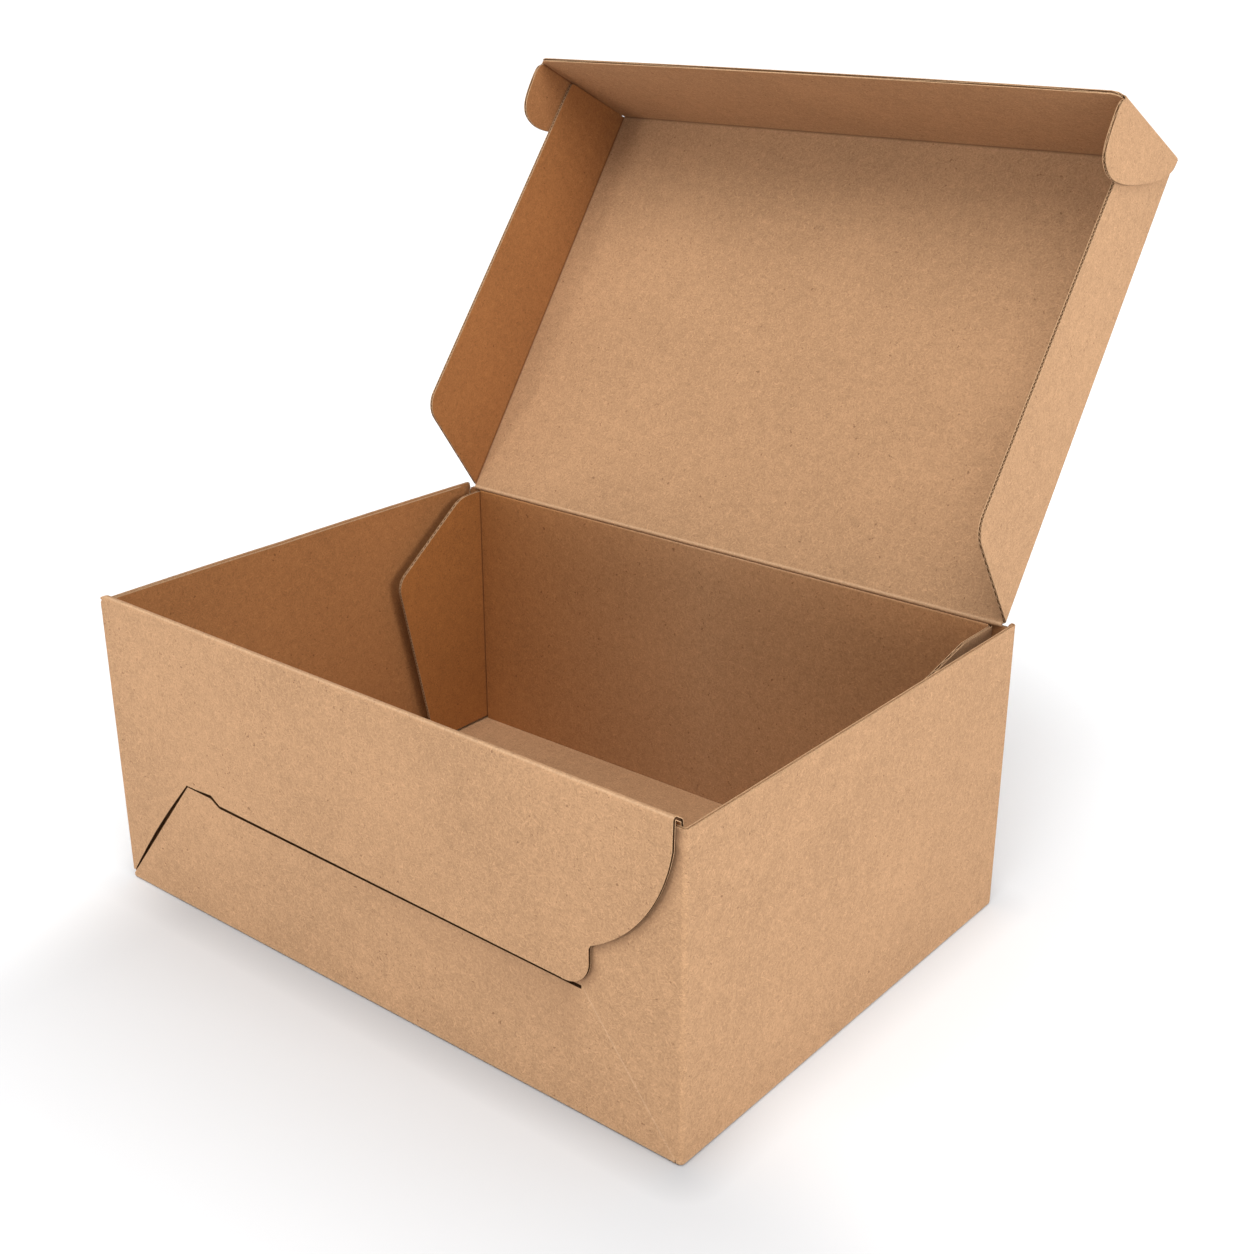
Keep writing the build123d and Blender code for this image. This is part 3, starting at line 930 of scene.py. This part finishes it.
class BOX_OT_dust_flaps(bpy.types.Operator):
    """Cut and fold the two dust flaps that stand at the ends of the back wall"""

    bl_idname = "box.dust_flaps"
    bl_label = "Dust Flaps"

    def execute(self, context):
        route = Route((0, 0), [bend(90, BOARD), run(60.0)])
        fold = route.bends[0][1]
        shapes = (("left_dust_flap", -1, 13.0, 32.6), ("right_dust_flap", 1, 22.0, 7.6))
        for name, side, level, drop in shapes:
            board = boards[name] = Board(context.scene.box_board)
            outline = rounded([
                (0.0, DUST_FOOT), (fold + 38.0, DUST_FOOT, 8.0), (fold + 57.0, DUST_TOP - drop, 9.0),
                (fold + level, DUST_TOP, 16.0), (0.0, DUST_TOP),
            ], 10)

            def place(s, z, inwards, side=side):
                outwards, forwards = route.at(s, inwards * 0.97)
                x = WIDTH / 2 + side * (WIDTH / 2 - DUST_INSET + outwards)
                return Vector((x, DEPTH - BOARD - forwards, z))

            # Painted shade in the flap's fold corner and, at full depth, over its inner face.
            board.add_flap(outline, place, route, 0.8, tint=1.0)
            piece = board.build(name + "_board", finishes()[:4])
            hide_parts(name)
            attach(piece, name)
        return {"FINISHED"}


class BOX_OT_lid(bpy.types.Operator):
    """Fold the lid: its panel and front lip, the two side flaps, and the ears at the lip's ends"""

    bl_idname = "box.lid"
    bl_label = "Lid"

    def execute(self, context):
        settings = context.scene.box_board
        radius = settings.fold_radius * 1000
        board = boards["lid"] = Board(settings)
        turn = pi / 2 + LIP_LEAN
        reach = radius * tan(turn / 2)
        route = Route((0, -BOARD / 2), [
            run(LID_LENGTH - reach), ("bend", turn, radius), run(LIP_HEIGHT - reach),
        ])
        fold_start, fold_end = route.bends[0]
        # Painted shade on the inner face beside the side flaps' folds, up to the lip's fold.
        bead_end, corner_shade_from, corner_shade_reach = 0.63, 1.2, 0.8

        def sheet(s, x, inwards):
            if s < bead_end:
                u, v = s, (inwards - BOARD / 2) * sqrt(max(HINGE_BEAD ** 2 - s ** 2, 0.0004)) / (BOARD / 2)
            else:
                u, v = route.at(s, inwards)
            return HINGE + RIGHT * x + LID_ALONG * u + LID_INWARD * v

        left, right = LID_LEFT + radius, LID_RIGHT - radius
        lip_left, lip_right = EAR_LEFT + radius, EAR_RIGHT - radius
        free = route.length
        step = fold_end + 2.2
        half = (lip_right - lip_left) / 2
        bowed = []
        for i in range(15):
            x = lip_right - 3.5 - (2 * half - 7.0) * i / 14
            bowed.append((free + settings.lip_bow * 1000 * (1 - ((x - lip_left - half) / half) ** 2), x))

        def side_line(panel_edge, lip_edge, inwards):
            return [
                (-HINGE_BEAD * 0.995, panel_edge), (fold_start - 0.6, panel_edge),
                (fold_start, panel_edge + 0.2 * inwards), (fold_end, panel_edge + 0.2 * inwards),
                (fold_end + 0.8, panel_edge + 0.1 * inwards), (step, lip_edge), (free - 3.5, lip_edge),
                (free - 1.0, lip_edge + inwards),
            ]

        outline = side_line(left, lip_left, 1) + bowed[::-1] + side_line(right, lip_right, -1)[::-1]
        bead_splits = [HINGE_BEAD * k for k in (-0.97, -0.9, -0.75, -0.5, -0.25, 0.0, 0.3, 0.64)]

        def panel_joined(s, x):
            beside_flap = s < fold_start - 0.6 and (x < left + 0.01 or x > right - 0.01)
            beside_ear = step < s < free - 3.5 and (x < lip_left + 0.01 or x > lip_right - 0.01)
            return s < 0 or beside_flap or beside_ear

        # Outside: scuffing with a painted highlight on the lip's fold, painted shade on the hinge. Inside:
        # painted shade in the folds' corners and beside the side flaps, lighter on the hinge, and over the
        # face, deeper on the lip.
        board.add(
            outline, sheet,
            (bead_splits + [corner_shade_from] + route.splits(10), [left + corner_shade_reach, right - corner_shade_reach]),
            joined=panel_joined,
            crease=lambda s, x: route.crease(s) - near(s, 0.2, 1.0) * 0.8,
            pinch=lambda s, x: max(
                route.pinch(s),
                1 - min(x - left, right - x) / corner_shade_reach if corner_shade_from < s < fold_start else 0.0,
            ) - near(s, 0.2, 1.0) * 0.8,
            tint=lambda s, x: 0.03 if s < (fold_start + fold_end) / 2 else 0.3,
        )

        # The side flaps: a fold along the panel's edge, then a flap that stands clear of the lip.
        flap_route = Route((0, -BOARD / 2), [bend(90, radius), run(60.0)])
        flap_fold = flap_route.bends[0][1]

        def flap_at(inward):
            return flap_fold + inward + BOARD / 2 - radius

        def beside_lip(inward):
            away = BOARD + 0.7
            down = (inward + BOARD / 2 + away * sin(LIP_LEAN)) / cos(LIP_LEAN)
            return LID_LENGTH - down * sin(LIP_LEAN) - away * cos(LIP_LEAN)

        flap = rounded([
            (0.0, 0.6), (flap_at(51.0), 21.0, 11.0), (flap_at(44.0), beside_lip(44.0), 2.0),
            (flap_at(1.5), beside_lip(1.5) + 0.5), (0.0, beside_lip(0.0) + 0.5),
        ], 12)
        for edge, side in ((left, -1), (right, 1)):
            def side_flap(s, along, inwards, edge=edge, side=side):
                out, v = flap_route.at(s, inwards)
                return HINGE + RIGHT * (edge + side * out) + LID_INWARD * v + LID_ALONG * along

            # Their inner faces take deep painted shade.
            board.add_flap(flap, side_flap, flap_route, tint=0.85)

        # The ears: folded back from the lip's ends, outside the side flaps.
        ear_route = Route((0, 0), [bend(90, radius), run(40.0)])
        ear_fold = ear_route.bends[0][1]
        curve = smooth([
            (3.2, 1.7), (5.2, 6.7), (12.0, 12.2), (21.0, 17.2), (36.0, 23.9), (49.0, 28.2), (58.0, 29.6),
            (64.0, 28.8), (68.5, 26.2), (70.6, 21.5), (70.6, 14.0), (69.2, 5.0), (66.5, 1.7),
        ], 5)
        ear = [(0.0, 66.0), (0.0, 4.0)]
        ear += [(ear_fold + reach_back - radius, down) for down, reach_back in curve]
        for edge, side in ((lip_left, -1), (lip_right, 1)):
            def lip_ear(s, down, inwards, edge=edge, side=side):
                out, v = ear_route.at(s, inwards)
                return LIP_ROOT + RIGHT * (edge + side * out) + LIP_BACK * v + LIP_DOWN * down

            board.add_flap(ear, lip_ear, ear_route)
        piece = board.build("lid_board", finishes()[:4])
        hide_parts("lid")
        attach(piece, "lid")
        return {"FINISHED"}


class BOX_OT_flutes(bpy.types.Operator):
    """Run the fluted paper along every cut edge of the board"""

    bl_idname = "box.flutes"
    bl_label = "Flutes on Cut Edges"

    def execute(self, context):
        settings = context.scene.box_board
        tree = flute_nodes()
        inputs = {item.name: item.identifier for item in tree.interface.items_tree if item.in_out == "INPUT"}
        room = BOARD / 1000 - 2 * settings.liner
        values = {
            "Pitch": settings.flute_pitch,
            "Wave height": (room - settings.flute_paper) / 2,
            "Width": settings.channel * 0.86,
            "Paper": settings.flute_paper,
            "Finish": finishes()[4],
        }
        for body, board in boards.items():
            guide = board.rim_object(body + "_cut_edges")
            modifier = guide.modifiers.new("Flutes", "NODES")
            modifier.node_group = tree
            for name, value in values.items():
                modifier[inputs[name]] = value
            context.view_layer.update()
            result = guide.evaluated_get(context.evaluated_depsgraph_get())
            mesh = bpy.data.meshes.new_from_object(result)
            guide.modifiers.remove(modifier)
            old = guide.data
            guide.data = mesh
            guide.name = mesh.name = body + "_flutes"
            bpy.data.meshes.remove(old)
            if not mesh.polygons:
                raise RuntimeError("no flutes were made for " + body)
            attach(guide, body)
        return {"FINISHED"}


class BOX_OT_studio(bpy.types.Operator):
    """Set up the pale floor, the soft studio light and the camera"""

    bl_idname = "box.studio"
    bl_label = "Studio"

    def execute(self, context):
        scene = context.scene
        studio = scene.box_studio
        scene.view_settings.view_transform = "Standard"
        scene.view_settings.look = "None"

        mesh = bpy.data.meshes.new("studio_floor")
        signs = ((-1, -1), (1, -1), (1, 1), (-1, 1))
        corners = [(x * FLOOR_REACH, y * FLOOR_REACH, -0.0002) for x, y in signs]
        mesh.from_pydata(corners, [], [(0, 1, 2, 3)])
        wires, place = new_material("studio_floor")
        haze = noise(wires, place, 3.0)
        colour = mix_colour(wires, haze, (0.94, 0.955, 0.97, 1.0), (0.95, 0.965, 0.98, 1.0))
        # A soft shadow round the foot of the box, darker right at it, deep in front and faint on the left.
        x = wires.add("ShaderNodeSeparateXYZ", i0=place)
        y = wires.add("ShaderNodeSeparateXYZ", out=1, i0=place)
        beyond_x = (x.size() - WIDTH / 2000).at_least(0.0)
        beyond_y = (y.size() - DEPTH / 2000).at_least(0.0)
        away = (beyond_x * beyond_x + beyond_y * beyond_y).power(0.5)
        shadow = (0.44 - away * 1.6).clamped() + (0.16 - away * 9.0).clamped()
        in_front = (y * -1.0).over(0.05, 0.125) * 0.4 + 0.6
        grey = (shadow * in_front * (x.over(-0.185, -0.10) * 0.85 + 0.15)).clamped()
        colour = mix_colour(wires, grey, colour, (0.10, 0.10, 0.11, 1.0))
        finish_material(wires, colour, 0.9 + haze * 0.05, None, 0.0)
        mesh.materials.append(bpy.data.materials["studio_floor"])
        floor = new_object("studio_floor", mesh)

        # The sky is white near the horizon, so that a low view shows no grey band behind the floor.
        world = bpy.data.worlds.new("studio_sky")
        world.use_nodes = True
        world.node_tree.nodes.clear()
        air = Wires(world.node_tree)
        way = air.add("ShaderNodeSeparateXYZ", out=2, i0=air.add("ShaderNodeTexCoord"))
        shade = mix_colour(air, way.over(0.10, 0.24), (1.0, 1.0, 1.0, 1.0), opaque([studio.sky] * 3))
        air.add("ShaderNodeOutputWorld", Surface=air.add("ShaderNodeBackground", Color=shade))
        scene.world = world

        sun = bpy.data.lights.new("sun", "SUN")
        sun.energy, sun.angle = studio.sun, SUN_WIDTH
        lamps = [(sun, Vector(studio.sun_from) * 2)]
        for name, at, width, power in (
            ("side", SIDE_LAMP_AT, 0.7, studio.side), ("front", FRONT_LAMP_AT, 0.34, studio.front),
        ):
            light = bpy.data.lights.new(name, "AREA")
            light.shape, light.size, light.energy = "DISK", width, power
            lamps.append((light, Vector(at)))
        for light, at in lamps:
            lamp = new_object(light.name, light)
            lamp.location = at
            lamp.rotation_euler = (LAMPS_AIM - at).to_track_quat("-Z", "Y").to_euler()

        camera = bpy.data.cameras.new("camera")
        camera.sensor_width, camera.lens = 36.0, studio.lens
        camera.clip_start = 0.01
        viewer = new_object("camera", camera)
        turn, rise = studio.azimuth, studio.elevation
        way = Vector((sin(turn) * cos(rise), -cos(turn) * cos(rise), sin(rise)))
        viewer.location = Vector(studio.target) + way * studio.distance
        viewer.rotation_euler = (-way).to_track_quat("-Z", "Y").to_euler()
        scene.camera = viewer
        return {"FINISHED"}


class BOX_PT_mailer(bpy.types.Panel):
    """Lists the sizes, the colours and the pieces of the box"""

    bl_idname = "BOX_PT_mailer"
    bl_label = "Mailer Box"
    bl_space_type = "VIEW_3D"
    bl_region_type = "UI"
    bl_category = "Mailer Box"

    def draw(self, context):
        for group in (context.scene.box_board, context.scene.box_kraft, context.scene.box_studio):
            box = self.layout.box()
            for name in group.__annotations__:
                box.prop(group, name)
        for operator in PIECES:
            self.layout.operator(operator.bl_idname)


PIECES = (BOX_OT_tray_walls, BOX_OT_front_lock, BOX_OT_dust_flaps, BOX_OT_lid, BOX_OT_flutes, BOX_OT_studio)
GROUPS = (("box_board", BoxBoardSettings), ("box_kraft", BoxKraftColours), ("box_studio", BoxStudioSettings))


def register():
    for name, group in GROUPS:
        bpy.utils.register_class(group)
        setattr(bpy.types.Scene, name, bpy.props.PointerProperty(type=group))
    for piece in PIECES + (BOX_PT_mailer,):
        bpy.utils.register_class(piece)


def unregister():
    for piece in reversed(PIECES + (BOX_PT_mailer,)):
        bpy.utils.unregister_class(piece)
    for name, group in reversed(GROUPS):
        delattr(bpy.types.Scene, name)
        bpy.utils.unregister_class(group)


def main():
    register()
    for piece in PIECES:
        group, name = piece.bl_idname.split(".")
        if getattr(getattr(bpy.ops, group), name)() != {"FINISHED"}:
            raise RuntimeError(piece.bl_label + " didn't finish")


if __name__ == "__main__":
    main()
